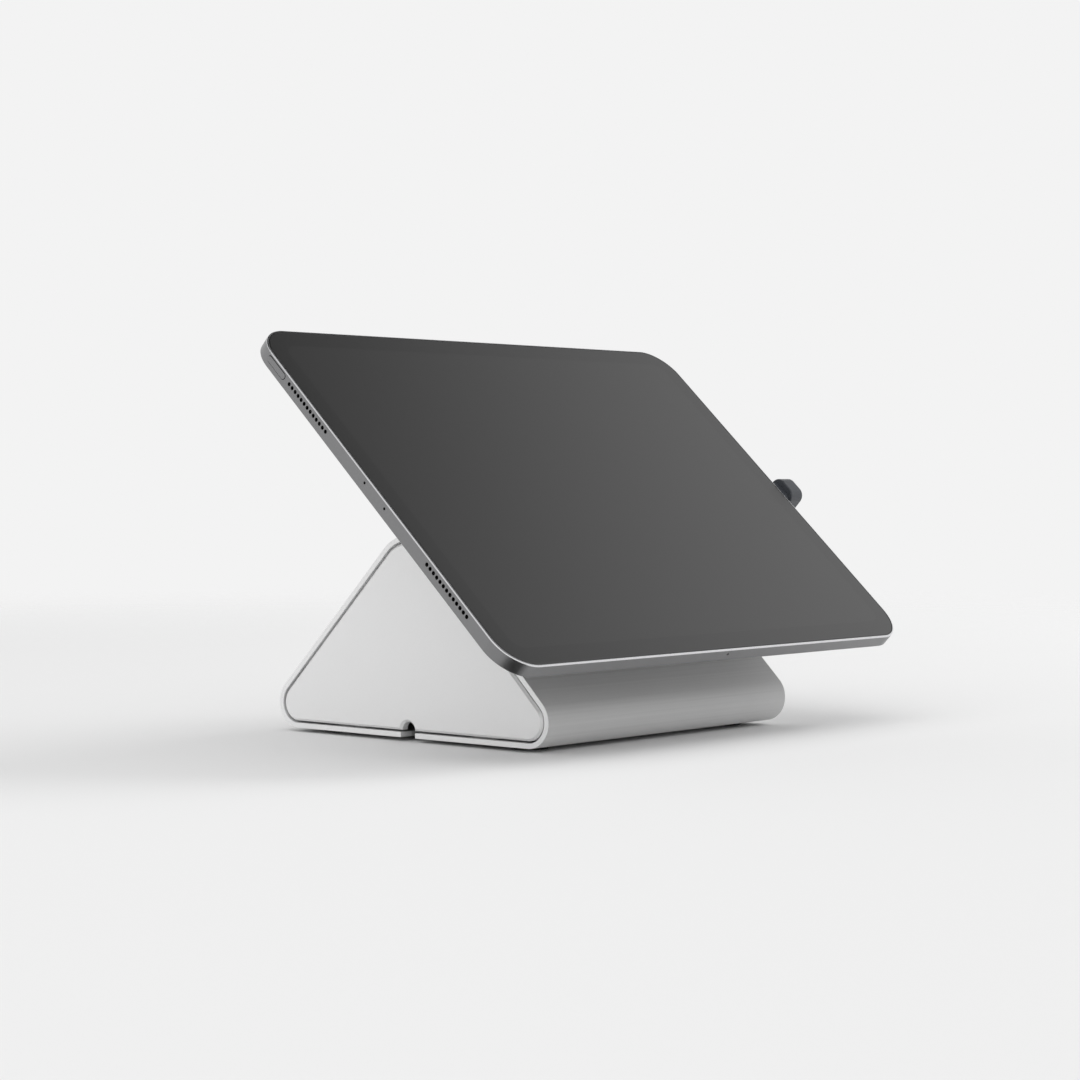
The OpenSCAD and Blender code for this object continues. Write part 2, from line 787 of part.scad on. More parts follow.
// Plug's body: a nose at the tablet's edge and a block that turns behind the tablet
module plug_body() {
    top = plug_depth + plug_above;
    bottom = plug_depth - tablet_t - plug_behind;
    color("darkslategray") at_port() {
        translate([0, 0, nose_gap]) linear_extrude(plug_standoff - nose_gap + eps)
            stadium(nose_width, nose_height);
        translate([0, (top + bottom) / 2, plug_standoff]) linear_extrude(plug_thickness)
            rounded_rect(plug_width, top - bottom, plug_corner_r);
    }
}

module power_button() {
    color("gray") at_tablet() at_power() button(power_length);
}

module volume_up_button() {
    color("gray") at_tablet() at_volume(volume_up_inset) button(volume_length);
}

module volume_down_button() {
    color("gray") at_tablet() at_volume(volume_down_inset) button(volume_length);
}

base_shell();
left_side_panel();
right_side_panel();
panel_screws();
ballast_plate();
ballast_screws();
foot(-1, -1);  // front_left_foot
foot(1, -1);  // front_right_foot
foot(-1, 1);  // rear_left_foot
foot(1, 1);  // rear_right_foot
hinge_bracket();
backing_plate();
bracket_screws();
hinge_pin();
hinge_nut();
disc_springs();
friction_washer(-1);  // left_friction_washer
friction_washer(1);  // right_friction_washer
mounting_plate();
hinge_bush();
adhesive_pad();
tablet_housing();
glass_gasket();
cover_glass();
display_panel();
battery(-1);  // left_battery
battery(1);  // right_battery
logic_board();
speaker(-1, 1);  // upper_left_speaker
speaker(-1, -1);  // lower_left_speaker
speaker(1, 1);  // upper_right_speaker
speaker(1, -1);  // lower_right_speaker
power_switch();
volume_switch();
usb_socket();
camera_ring();
camera_lens();
plug_contact_shell();
plug_body();
power_button();
volume_up_button();
volume_down_button();
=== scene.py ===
# %% [markdown]
# # A tablet kiosk stand
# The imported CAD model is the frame: it fixes every size, every place and every joint.
# This lesson models the pieces that show in the photograph by hand, with soft edges that
# catch the light, and gives every remaining CAD piece a finish of its own.

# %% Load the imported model
import json
import math

import bmesh
import bpy
from mathutils import Matrix, Vector


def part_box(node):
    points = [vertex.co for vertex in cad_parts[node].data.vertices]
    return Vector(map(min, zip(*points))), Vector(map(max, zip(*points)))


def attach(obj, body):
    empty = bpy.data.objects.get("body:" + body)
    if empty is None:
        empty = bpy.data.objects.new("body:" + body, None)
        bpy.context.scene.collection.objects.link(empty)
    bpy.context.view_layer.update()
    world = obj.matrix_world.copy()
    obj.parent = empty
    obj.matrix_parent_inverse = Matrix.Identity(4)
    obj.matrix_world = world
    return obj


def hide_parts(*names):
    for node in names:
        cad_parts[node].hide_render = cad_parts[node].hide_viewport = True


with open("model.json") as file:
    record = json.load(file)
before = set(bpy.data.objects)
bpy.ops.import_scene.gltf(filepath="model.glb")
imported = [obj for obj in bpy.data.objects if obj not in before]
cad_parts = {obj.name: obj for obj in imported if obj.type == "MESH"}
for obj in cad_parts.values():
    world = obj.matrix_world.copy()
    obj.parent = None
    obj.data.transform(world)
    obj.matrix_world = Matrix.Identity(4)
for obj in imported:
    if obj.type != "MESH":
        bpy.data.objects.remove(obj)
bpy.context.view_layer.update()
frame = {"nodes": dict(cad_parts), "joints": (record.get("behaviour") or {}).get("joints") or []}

# %% [markdown]
# ## Sizes
# The pieces are modelled in millimetres, because the modelling tools' own tolerances suit
# numbers of that size. Each finished piece is then scaled to metres and set in its place.

# %% Sizes and places
MM = 0.001
# Tolerance of a test on places, and how far a cutter reaches past what it cuts
TINY, OVER = 0.01, 1.0
# Angles up to which neighbouring faces count as one flat face, or as one smooth face
FLAT, SMOOTH = math.radians(0.5), math.radians(30)
# A face looks along an axis if its normal has more than this share of it
FACING = 0.99
ALONG_X, ALONG_Y = (0, math.radians(90), 0), (math.radians(90), 0, 0)

BASE_WIDTH, BASE_DEPTH = 149.0, 142.2
SLOPE = math.radians(45)
BOTTOM_R, TOP_R, WALL = 10.0, 18.0, 2.0
FOOT_HEIGHT = 1.6
BOTTOM_FLAT = BASE_DEPTH / 2 - BOTTOM_R
RIDGE_Z = (BOTTOM_FLAT + BOTTOM_R / math.tan(SLOPE / 2)) * math.tan(SLOPE)
TOP_Z = RIDGE_Z - TOP_R / math.cos(SLOPE)

TABLET_W, TABLET_H, TABLET_T = 247.6, 178.5, 5.9
CORNER_R = 15.0
# The hinge is the first of the model's joints
HINGE = frame["joints"][0]["pos_m"]
TILT = math.radians(43)
HINGE_TO_TABLET, HINGE_HEIGHT = 12.0, 12.0
BRACKET_W, BRACKET_L, BRACKET_T, BRACKET_TOP = 62.0, 42.0, 6.0, 8.0
BRACKET_Y = -BRACKET_TOP - BRACKET_L / 2
BRACKET_SCREW_X, BRACKET_SCREW_Y = 24.0, 12.0
BRACKET_SCREWS = [(sx * BRACKET_SCREW_X, sy * BRACKET_SCREW_Y, 0) for sx in (-1, 1) for sy in (-1, 1)]

IN_PLACE = Matrix.Scale(MM, 4)
ON_TABLET = (Matrix.Translation(HINGE) @ Matrix.Rotation(TILT, 4, "X")
             @ Matrix.Translation((0, 0, HINGE_TO_TABLET * MM)) @ Matrix.Scale(MM, 4))
ON_SCREEN = Matrix.Translation(HINGE) @ Matrix.Rotation(TILT, 4, "X") @ Matrix.Scale(MM, 4)
ON_SLOPE = Matrix.Translation(HINGE) @ Matrix.Rotation(SLOPE, 4, "X") @ Matrix.Scale(MM, 4)
print("ridge centre at", round(TOP_Z, 2), "mm")

# %% [markdown]
# ## Colours and nodes
# Colours are written as the sRGB hex values that a colour picker shows. Blender's shaders
# work in linear light, so one function converts them. A second small function adds a shader
# node with its settings, its constant values and its links.

# %% Colour and node helpers
def linear(hex_colour):
    """The linear colour, with full alpha, of an sRGB hex value such as "#c9cacc"."""
    values = [int(hex_colour[i:i + 2], 16) / 255 for i in (1, 3, 5)]
    lit = [v / 12.92 if v <= 0.04045 else ((v + 0.055) / 1.055) ** 2.4 for v in values]
    return (*lit, 1.0)


def add_node(tree, kind, values=None, links=None, **settings):
    """Adds a node: settings are its properties, values its constants, links what feeds it."""
    made = tree.nodes.new(kind)
    for name, setting in settings.items():
        setattr(made, name, setting)
    for name, value in (values or {}).items():
        made.inputs[name].default_value = value
    for name, source in (links or {}).items():
        tree.links.new(source, made.inputs[name])
    return made


def grained(name, dark, light, grain_mm, roughness, rough_spread=0.06, stretch=(1, 1, 1),
            bump_mm=0.004, brushed=False, **shader_values):
    """A finish whose colour, roughness and height follow one noise of a real grain size.

    A brushed finish also spreads its reflections across brush marks that run along X.
    """
    finish = bpy.data.materials.new(name)
    finish.use_nodes = True
    tree = finish.node_tree
    shader = tree.nodes["Principled BSDF"]
    for socket, value in shader_values.items():
        shader.inputs[socket.replace("_", " ")].default_value = value
    place = add_node(tree, "ShaderNodeTexCoord").outputs["Object"]
    per_metre = [1 / (grain_mm * MM * s) for s in stretch]
    scaled = add_node(tree, "ShaderNodeMapping", {"Scale": per_metre}, {"Vector": place})
    noise = add_node(tree, "ShaderNodeTexNoise", {"Scale": 1.0, "Detail": 3.0, "Roughness": 0.6},
                     {"Vector": scaled.outputs["Vector"]})
    noise_low, noise_high = 0.3, 0.7
    tint = add_node(tree, "ShaderNodeValToRGB", links={"Fac": noise.outputs["Fac"]})
    for stop, position, tone in zip(tint.color_ramp.elements, (noise_low, noise_high), (dark, light)):
        stop.position = position
        stop.color = linear(tone)
    gloss = add_node(tree, "ShaderNodeMapRange", {
        "From Min": noise_low, "From Max": noise_high,
        "To Min": roughness - rough_spread, "To Max": roughness + rough_spread,
    }, {"Value": noise.outputs["Fac"]})
    height = add_node(tree, "ShaderNodeBump", {"Strength": 0.5, "Distance": bump_mm * MM},
                      {"Height": noise.outputs["Fac"]})
    tree.links.new(tint.outputs["Color"], shader.inputs["Base Color"])
    tree.links.new(gloss.outputs["Result"], shader.inputs["Roughness"])
    tree.links.new(height.outputs["Normal"], shader.inputs["Normal"])
    if brushed:
        round_x = add_node(tree, "ShaderNodeTangent", direction_type="RADIAL", axis="X")
        tree.links.new(round_x.outputs["Tangent"], shader.inputs["Tangent"])
    print("finish:", name)
    return finish


# %% [markdown]
# ## Finishes
# The shell is extruded aluminium, brushed along its length and clear anodised: long fine
# streaks along X. The panels and the tablet are bead-blasted and anodised, which leaves an
# even, very fine sparkle. The real grit is about 0.1 mm, too fine for the picture, so it is
# drawn about four times as coarse. Rubber, plastics, steel and powder coat get their own grain.

# %% Metal finishes
# Light grey metal with fine streaks along its length and a wide, soft sheen across them.
brushed_shell = grained("brushed_clear_anodised_aluminium", "#d0d0d0", "#d9d9d9", 1.2, 0.6,
                        stretch=(200, 1, 1), bump_mm=0.002, brushed=True, Metallic=0.4, Anisotropic=0.9)
# Freshly cut metal, nearly white and matt; on the seats it is painted light against the groove's shade.
milled_end_painted_seat_light = grained("milled_aluminium_end_and_painted_seat_light", "#f4f4f4", "#f8f8f8", 0.3, 0.5, bump_mm=0.001, Metallic=0.5)
# Pale, even metal with a very fine sparkle and no clear reflections.
blasted_panel = grained("bead_blasted_anodised_aluminium", "#f1f1f1", "#f4f4f4", 0.45, 0.45,
                        bump_mm=0.002, Metallic=0.4)
# Mid-grey satin metal.
grey_anodised = grained("grey_anodised_aluminium", "#878788", "#8d8d8e", 0.4, 0.36,
                        bump_mm=0.002, Metallic=1.0)
# A bright, almost mirror-like line.
cut_edge = grained("diamond_cut_aluminium_edge", "#dcdcde", "#e4e4e6", 0.3, 0.2,
                   rough_spread=0.03, bump_mm=0.0005, Metallic=1.0)
# Light grey metal with a slight bloom.
plain_steel = grained("zinc_plated_steel", "#9a9b9c", "#b0b1b2", 0.6, 0.34, bump_mm=0.002, Metallic=1.0)
# Dull, cloudy dark grey metal.
dark_steel = grained("mild_steel_plate", "#6f7173", "#85878a", 1.5, 0.45, rough_spread=0.1, Metallic=1.0)
# Bright metal with fine rings left by the wheel.
ground_steel = grained("ground_steel", "#a9a9ad", "#bdbdc1", 0.4, 0.26, stretch=(1, 8, 8), Metallic=1.0)
# Warm yellow metal, satin.
washer_brass = grained("rolled_brass", "#b08d57", "#c2a06a", 0.5, 0.35, Metallic=1.0)

# %% Coat, rubber, plastic and lens finishes
# Light grey and matt, with a faint orange-peel texture.
powder_coat = grained("silver_powder_coat", "#cfcfcf", "#d9d9d9", 0.7, 0.5, bump_mm=0.02)
# Nearly black and dull.
foot_rubber = grained("moulded_rubber", "#151515", "#1e1e1e", 0.5, 0.8, bump_mm=0.02)
# Black, open and quite matt.
pad_foam = grained("foam_adhesive", "#101010", "#1b1b1b", 0.8, 0.9, bump_mm=0.03)
# A thin black line with a soft sheen.
seal_black = grained("gasket_elastomer", "#0b0b0b", "#131313", 0.3, 0.6)
# Dark blue-grey and smooth, with one broad soft highlight.
plug_plastic = grained("moulded_abs_dark_grey", "#393c41", "#414449", 0.4, 0.42, bump_mm=0.004, IOR=1.53)
# Warm tan, a little waxy.
bush_polymer = grained("bearing_polymer", "#8f7f63", "#9d8c6f", 0.5, 0.5)
# Black film with a slight gloss.
cell_wrap = grained("battery_wrap", "#1c1d20", "#26272b", 0.8, 0.4)
# Deep green with an even gloss.
board_mask = grained("circuit_solder_mask", "#0f3d24", "#175232", 0.8, 0.35)
# Black and slightly grainy.
module_plastic = grained("moulded_black_nylon", "#191919", "#232323", 0.5, 0.55)
# Almost black, with a small sharp highlight.
lens_glass = grained("dark_lens_glass", "#050507", "#0a0a10", 2.0, 0.08,
                     rough_spread=0.02, bump_mm=0, IOR=1.52)

# %% [markdown]
# ## Screen glass
# The glass is clear, with a black border printed on its back, and a switched-off display
# behind the middle that is a touch lighter than the print. An anti-glare coat makes its
# reflections soft. Two finishes share the glass, one for the border and one for the display.

# %% Glass finishes
# Black under a soft grey bloom.
border_glass = grained("screen_glass_over_black_print", "#0c0c0c", "#0d0d0d", 6.0, 0.3,
                       rough_spread=0.002, bump_mm=0, IOR=1.75)
# The same bloom over a tone that is a touch lighter.
display_glass = grained("screen_glass_over_display", "#181818", "#191919", 6.0, 0.3,
                        rough_spread=0.002, bump_mm=0, IOR=1.75)

# %% [markdown]
# ## Modelling by hand
# Every piece starts as a primitive at its real size. Edges and faces are chosen in code by
# where they lie, as one would click on them, and then bevelled, inset or moved.

# %% Modelling helpers
def clear_selection():
    """Back to object mode with nothing selected, because operators act on all that is selected."""
    if bpy.context.object and bpy.context.object.mode != "OBJECT":
        bpy.ops.object.mode_set(mode="OBJECT")
    bpy.ops.object.select_all(action="DESELECT")


def name_piece(name):
    """Names the active object and its mesh."""
    piece = bpy.context.object
    piece.name = name
    piece.data.name = name
    return piece


def add_block(name, low, high):
    """A box between two corners."""
    clear_selection()
    bpy.ops.mesh.primitive_cube_add(size=1)
    piece = name_piece(name)
    piece.location = [(a + b) / 2 for a, b in zip(low, high)]
    piece.scale = [b - a for a, b in zip(low, high)]
    bpy.ops.object.transform_apply(location=True, rotation=True, scale=True)
    return piece


def add_bar(name, centre, radius, length, turn=(0, 0, 0), sides=32, tip_radius=None):
    """A round bar about a centre, along Z unless it is turned; a tip radius makes it a cone."""
    clear_selection()
    bpy.ops.mesh.primitive_cone_add(
        vertices=sides, radius1=radius, radius2=radius if tip_radius is None else tip_radius,
        depth=length, location=centre, rotation=turn)
    bpy.ops.object.transform_apply(location=True, rotation=True, scale=True)
    return name_piece(name)


def join(name, parts):
    """Several parts joined in one object."""
    clear_selection()
    for part in parts:
        part.select_set(True)
    bpy.context.view_layer.objects.active = parts[0]
    bpy.ops.object.join()
    return name_piece(name)


def copy_of(piece, name, move):
    """A copy of a piece, with a mesh of its own, moved by a matrix."""
    twin = piece.copy()
    twin.data = piece.data.copy()
    twin.name = name
    twin.data.name = name
    bpy.context.scene.collection.objects.link(twin)
    twin.data.transform(move)
    return twin


def pick(piece, kind, test):
    """In edit mode, selects the edges or faces that pass a test, and nothing else."""
    clear_selection()
    piece.select_set(True)
    bpy.context.view_layer.objects.active = piece
    bpy.ops.object.mode_set(mode="EDIT")
    bpy.ops.mesh.select_mode(type=kind)
    bpy.ops.mesh.select_all(action="DESELECT")
    mesh = bmesh.from_edit_mesh(piece.data)
    chosen = [item for item in (mesh.edges if kind == "EDGE" else mesh.faces) if test(item)]
    for item in chosen:
        item.select_set(True)
    bmesh.update_edit_mesh(piece.data)


def reach(edge, axis):
    """How far an edge reaches along an axis: 0 for X, 1 for Y and 2 for Z."""
    return abs(edge.verts[0].co[axis] - edge.verts[1].co[axis])


def bevel_edges(piece, test, width, segments):
    """Bevels the edges that pass a test."""
    pick(piece, "EDGE", test)
    bpy.ops.mesh.bevel(offset=width, segments=segments, affect="EDGES")
    bpy.ops.object.mode_set(mode="OBJECT")


def bevel_where(piece, at, width, segments):
    """Bevels the edges that have both ends where a test says."""
    bevel_edges(piece, lambda e: all(at(v.co) for v in e.verts), width, segments)


def inset_and_sink(rim, depth):
    """Insets the selected faces by a rim and sinks what is inside it, with upright walls."""
    bpy.ops.mesh.inset(thickness=rim)
    bpy.ops.mesh.inset(thickness=0, depth=-depth)


def apply_modifier(piece, kind, **settings):
    """Adds a modifier with its settings and applies it."""
    clear_selection()
    piece.select_set(True)
    bpy.context.view_layer.objects.active = piece
    modifier = piece.modifiers.new(kind.title(), kind)
    for name, setting in settings.items():
        setattr(modifier, name, setting)
    bpy.ops.object.modifier_apply(modifier=modifier.name)


def clean(piece):
    """Merges points that a cut left almost together, and flat faces that it split."""
    pick(piece, "FACE", lambda f: True)
    bpy.ops.mesh.remove_doubles(threshold=TINY)
    bpy.ops.mesh.select_all(action="SELECT")
    bpy.ops.mesh.dissolve_limited(angle_limit=FLAT)
    bpy.ops.object.mode_set(mode="OBJECT")


def soften(piece, width, segments, degrees):
    """Cleans a piece and breaks every edge that is sharper than an angle."""
    clean(piece)
    apply_modifier(piece, "BEVEL", width=width, segments=segments, limit_method="ANGLE",
                   angle_limit=math.radians(degrees))


def cut(piece, cutter):
    """Takes a cutter out of a piece and deletes the cutter."""
    apply_modifier(piece, "BOOLEAN", operation="DIFFERENCE", solver="EXACT", object=cutter)
    bpy.data.objects.remove(cutter)


def weld(piece, other):
    """Makes a second part one solid with a piece, and deletes the part."""
    apply_modifier(piece, "BOOLEAN", operation="UNION", solver="EXACT", object=other)
    bpy.data.objects.remove(other)


def drill(piece, cutter, places, frame_of_places=Matrix.Identity(4)):
    """Takes copies of one cutter, moved to several places, out of a piece.

    A matrix can say where the frame of those places stands in the piece's own.
    """
    copies = [copy_of(cutter, "copy", Matrix.Translation(place)) for place in places]
    bpy.data.objects.remove(cutter)
    tool = join("copies", copies)
    tool.data.transform(frame_of_places)
    cut(piece, tool)


def wrap_round(name, parts):
    """The tight skin round several bars: how a round-cornered prism is made."""
    piece = join(name, parts)
    bpy.ops.object.mode_set(mode="EDIT")
    bpy.ops.mesh.select_all(action="SELECT")
    bpy.ops.mesh.convex_hull(join_triangles=False)
    bpy.ops.mesh.select_all(action="SELECT")
    bpy.ops.mesh.dissolve_limited(angle_limit=FLAT)
    bpy.ops.object.mode_set(mode="OBJECT")
    return piece


def finish_piece(piece, place, body, nodes, finishes):
    """Smooths a piece, sets it in its place in metres, hides the CAD pieces it stands for and hangs it on
    its body.
    """
    clear_selection()
    piece.select_set(True)
    bpy.context.view_layer.objects.active = piece
    bpy.ops.object.shade_smooth_by_angle(angle=SMOOTH)
    apply_modifier(piece, "WEIGHTED_NORMAL", keep_sharp=True)
    piece.matrix_world = place
    bpy.ops.object.transform_apply(location=True, rotation=True, scale=True)
    for finish in finishes:
        piece.data.materials.append(finish)
    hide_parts(*nodes)
    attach(piece, body)
    print(piece.name, "faces:", len(piece.data.polygons))
    return piece


# %% [markdown]
# ## Base shell
# The real shell is one extrusion, cut to length and deburred. Here three bars stand where the
# corners are, the tight skin round them is the outside, its ends are taken away, and Solidify
# gives the wall. The slots and bolt holes are cut, each with copies of one tool, and their edges
# and the shell's ends are broken; the screws' holes and countersinks come last and stay crisp.
# The ends and the panels' seats are split off with a bisect and take a brighter finish: the ends
# because they are milled after brushing, the seats as painted light that lifts the shade in the groove.

# %% Base shell
def corner_bars(inset, start, end):
    """Bars along X at the base's three corners, drawn in by an inset."""
    middle, length = (start + end) / 2, end - start
    places = [(-BOTTOM_FLAT, BOTTOM_R, BOTTOM_R), (BOTTOM_FLAT, BOTTOM_R, BOTTOM_R), (0, TOP_Z, TOP_R)]
    return [add_bar("corner", (middle, y, z), r - inset, length, ALONG_X, sides=128) for y, z, r in places]


HALF, SHELL_EDGE = BASE_WIDTH / 2, 0.25
shell = wrap_round("shell", corner_bars(0, -HALF, HALF))
pick(shell, "FACE", lambda f: abs(f.normal.x) > FACING)
bpy.ops.mesh.delete(type="FACE")
bpy.ops.object.mode_set(mode="OBJECT")
apply_modifier(shell, "SOLIDIFY", thickness=WALL, offset=-1, use_even_offset=True)

# %% Base shell openings
SLOT_WIDTH, SLOT_LENGTH, SLOT_OVER = 7.5, 12.0, 5.0
half_slot = (SLOT_LENGTH + SLOT_OVER) / 2
slot_x = HALF + SLOT_OVER - half_slot
slot = add_block("slot", (-half_slot, -SLOT_WIDTH / 2, -WALL), (half_slot, SLOT_WIDTH / 2, 3 * WALL))
slots = [(-slot_x, 0, 0), (slot_x, 0, 0)]
drill(shell, slot, slots)
BOLT_SPACING, BOLT_D = 50.0, 6.6
bolt_hole = add_bar("bolt_hole", (0, 0, WALL / 2), BOLT_D / 2, 4 * WALL)
bolts = [(-BOLT_SPACING / 2, 0, 0), (BOLT_SPACING / 2, 0, 0)]
drill(shell, bolt_hole, bolts)
soften(shell, SHELL_EDGE, segments=2, degrees=40)
TAB_SCREW, BALLAST_SCREW = (64.7, 35.0), (41.0, 34.0)
HEAD_R, SHANK_R, THREAD_R, HEAD_H, HOLE_GAP, SINK_DEPTH = 3.9, 2.0, 2.05, 1.9, 0.2, 1.89
screws = [(sx * x, sy * y, 0) for x, y in (TAB_SCREW, BALLAST_SCREW) for sx in (-1, 1) for sy in (-1, 1)]
sink = add_bar("sink", (0, 0, SINK_DEPTH - HEAD_H / 2), HEAD_R + HOLE_GAP, HEAD_H,
               tip_radius=SHANK_R + HOLE_GAP)
drill(shell, sink, screws)
drill(shell, add_bar("shank_hole", (0, 0, WALL / 2), SHANK_R + HOLE_GAP, 3 * WALL), screws)
slope_hole = add_bar("slope_hole", (0, BRACKET_Y, -HINGE_HEIGHT - WALL / 2), SHANK_R + HOLE_GAP, 3 * WALL)
drill(shell, slope_hole, BRACKET_SCREWS, IN_PLACE.inverted() @ ON_SLOPE)
print("openings in the shell:", len(slots + bolts + screws + BRACKET_SCREWS))

# %% Base shell ends
SEAT_DEPTH, INSIDE_Z, TOWARDS_END = 6.0, BASE_DEPTH / 5, 0.3
for side in (-1, 1):
    pick(shell, "FACE", lambda f: True)
    bpy.ops.mesh.bisect(plane_co=(side * (HALF - SEAT_DEPTH), 0, 0), plane_no=(1, 0, 0))
finish_piece(shell, IN_PLACE, "base", ["base_shell"], [brushed_shell, milled_end_painted_seat_light])
inside = Vector((0, 0, INSIDE_Z * MM))
for face in shell.data.polygons:
    outward = face.center - inside
    outward.x = 0
    at_end = abs(face.center.x) > (HALF - SEAT_DEPTH) * MM
    # Inward faces by the ends take the near-white finish too: painted light against the groove's shade
    milled_or_lightened = abs(face.normal.x) > TOWARDS_END or face.normal.dot(outward) < 0
    face.material_index = 1 if at_end and milled_or_lightened else 0
print("milled faces:", sum(face.material_index for face in shell.data.polygons))

# %% [markdown]
# ## Side panels
# Each panel is a thin plate with the shell's own outline, drawn in by the wall and an even
# gap, and a flat chamfer round its face. A small arch in its lower edge lets the cable out.
# Behind the plate a rim locates it in the shell and two tabs take its screws; the lower edge of
# each tab is cut away next to the plate, out of sight of the gap. Both panels are the same
# milling, so the second one is a copy of the first, turned about.

# %% Side panels
PANEL_T, PANEL_GAP, PANEL_CHAMFER, PANEL_PROUD = 3.6, 0.85, 0.9, 0.3
RIM_DEPTH, RIM_WALL, RIM_GAP, RIM_START = 6.0, 2.4, 0.15, 24.0
ARCH_R, PANEL_EDGE = 3.35, 0.12
TAB_LENGTH, TAB_WIDTH, TAB_HEIGHT, TAB_SPACING, TAB_RELIEF = 13.0, 12.0, 8.0, 70.0, 3.0
inset = WALL + PANEL_GAP
face_x = HALF + PANEL_PROUD
inner_x = face_x - PANEL_T
panel = wrap_round("right_panel", corner_bars(inset, inner_x, face_x))
bevel_where(panel, lambda p: p.x > face_x - TINY, PANEL_CHAMFER, 1)
cut(panel, add_bar("arch", ((inner_x + face_x) / 2, 0, inset), ARCH_R, 3 * PANEL_T, ALONG_X, sides=48))
cut(panel, add_bar("arch_chamfer", (face_x - PANEL_CHAMFER / 2, 0, inset), ARCH_R,
                   PANEL_CHAMFER + 2 * TINY, ALONG_X, sides=48, tip_radius=ARCH_R + PANEL_CHAMFER))
soften(panel, PANEL_EDGE, segments=2, degrees=30)
print("panel plate faces:", len(panel.data.polygons))

# %% Rim, tabs and the second panel
rim = wrap_round("rim", corner_bars(WALL + RIM_GAP, inner_x - RIM_DEPTH, inner_x))
rim_core = corner_bars(WALL + RIM_GAP + RIM_WALL, inner_x - RIM_DEPTH - OVER, inner_x + OVER)
cut(rim, wrap_round("rim_core", rim_core))
cut(rim, add_block("rim_base", (0, -BASE_DEPTH, -RIM_START), (BASE_WIDTH, BASE_DEPTH, RIM_START)))
tab = add_block("tab", (inner_x - TAB_LENGTH, -TAB_WIDTH / 2, WALL),
                (inner_x, TAB_WIDTH / 2, WALL + TAB_HEIGHT))
cut(tab, add_block("relief", (inner_x - TAB_RELIEF, -TAB_WIDTH, WALL - OVER),
                   (inner_x + OVER, TAB_WIDTH, WALL + PANEL_GAP)))
tab_hole = (inner_x - TAB_LENGTH / 2, 0, WALL + TAB_HEIGHT / 2)
cut(tab, add_bar("tab_hole", tab_hole, THREAD_R, 2 * TAB_HEIGHT))
tabs = [copy_of(tab, "tab", Matrix.Translation((0, side * TAB_SPACING / 2, 0))) for side in (-1, 1)]
bpy.data.objects.remove(tab)
for part in (rim, *tabs):
    weld(panel, part)
left_panel = copy_of(panel, "left_panel", Matrix.Rotation(math.pi, 4, "Z"))
finish_piece(panel, IN_PLACE, "base", ["right_side_panel"], [blasted_panel])
finish_piece(left_panel, IN_PLACE, "base", ["left_side_panel"], [blasted_panel])

# %% [markdown]
# ## Feet
# Four thin moulded rubber discs from one mould. One disc is modelled, a short bar whose sole
# edge is rounded, and a copy goes to the place of each foot.

# %% Feet
SOLE_R = 0.4
FEET = ["front_left_foot", "front_right_foot", "rear_left_foot", "rear_right_foot"]
low, high = [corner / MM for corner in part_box(FEET[0])]
foot = add_bar("foot", (0, 0, -FOOT_HEIGHT / 2), (high.x - low.x) / 2, FOOT_HEIGHT, sides=64)
bevel_where(foot, lambda p: p.z < TINY - FOOT_HEIGHT, SOLE_R, 4)
for node in FEET:
    low, high = [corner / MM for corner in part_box(node)]
    middle = (low + high) / 2
    rubber = copy_of(foot, node.replace("_foot", "_rubber"), Matrix.Translation((middle.x, middle.y, 0)))
    finish_piece(rubber, IN_PLACE, "base", [node], [foot_rubber])
bpy.data.objects.remove(foot)

# %% [markdown]
# ## Tablet housing
# A milled aluminium tray. A block gets its four round corners, a fillet round its back and a
# small round edge at its front, which is cut bright after anodising; insetting its face and
# sinking the inner part makes the seat of the glass and then the hollow. Rows of speaker holes,
# microphone holes, button openings and the charging opening are drilled last.

# %% Tablet housing form
GLASS_T, FRONT_R, GLASS_RIM, SEAL_W = 0.75, 0.5, 0.2, 0.3
GLASS_INSET = FRONT_R + GLASS_RIM + SEAL_W
SIDE_WALL, BACK_WALL, REAR_R, EDGE_DROP = 2.2, 0.8, 0.5, 2.4
EDGE_Z = TABLET_T - EDGE_DROP


def rounded_block(name, low, high, radius):
    """A block with rounded upright edges."""
    block = add_block(name, low, high)
    bevel_edges(block, lambda e: reach(e, 2) > TINY, radius, 16)
    return block


def rounded_slab(name, inset, low_z, high_z):
    """A flat block with the tablet's outline, drawn in by an inset."""
    w, h = TABLET_W / 2 - inset, TABLET_H / 2 - inset
    return rounded_block(name, (-w, -h, low_z), (w, h, high_z), CORNER_R - inset)


housing = rounded_slab("housing", 0, 0, TABLET_T)
bevel_where(housing, lambda p: p.z < TINY, REAR_R, 4)
bevel_where(housing, lambda p: p.z > TABLET_T - TINY, FRONT_R, 5)
pick(housing, "FACE", lambda f: f.normal.z > FACING)
inset_and_sink(GLASS_RIM, GLASS_T)
inset_and_sink(SIDE_WALL - FRONT_R - GLASS_RIM, TABLET_T - GLASS_T - BACK_WALL)
bpy.ops.object.mode_set(mode="OBJECT")
print("housing faces before drilling:", len(housing.data.polygons))

# %% Tablet housing openings
SPEAKER_D, SPEAKER_PITCH, SPEAKER_COUNT = 1.6, 2.18, 13
SPEAKER_Y, SPEAKER_DROP = TABLET_H / 2 - 41.25, 0.6
MIC_D, MIC_SPACING, LOWER_MIC_X = 1.1, 13.6, 1.7
DRILL = 3 * SIDE_WALL


def slot_bar(name, centre, length, width, depth, along_edge, into):
    """A bar of slot-shaped section: two round bars and the skin round them."""
    shift = Vector(along_edge) * (length - width) / 2
    ends = [add_bar("end", Vector(centre) + s * shift, width / 2, depth, into, sides=24) for s in (-1, 1)]
    return wrap_round(name, ends)


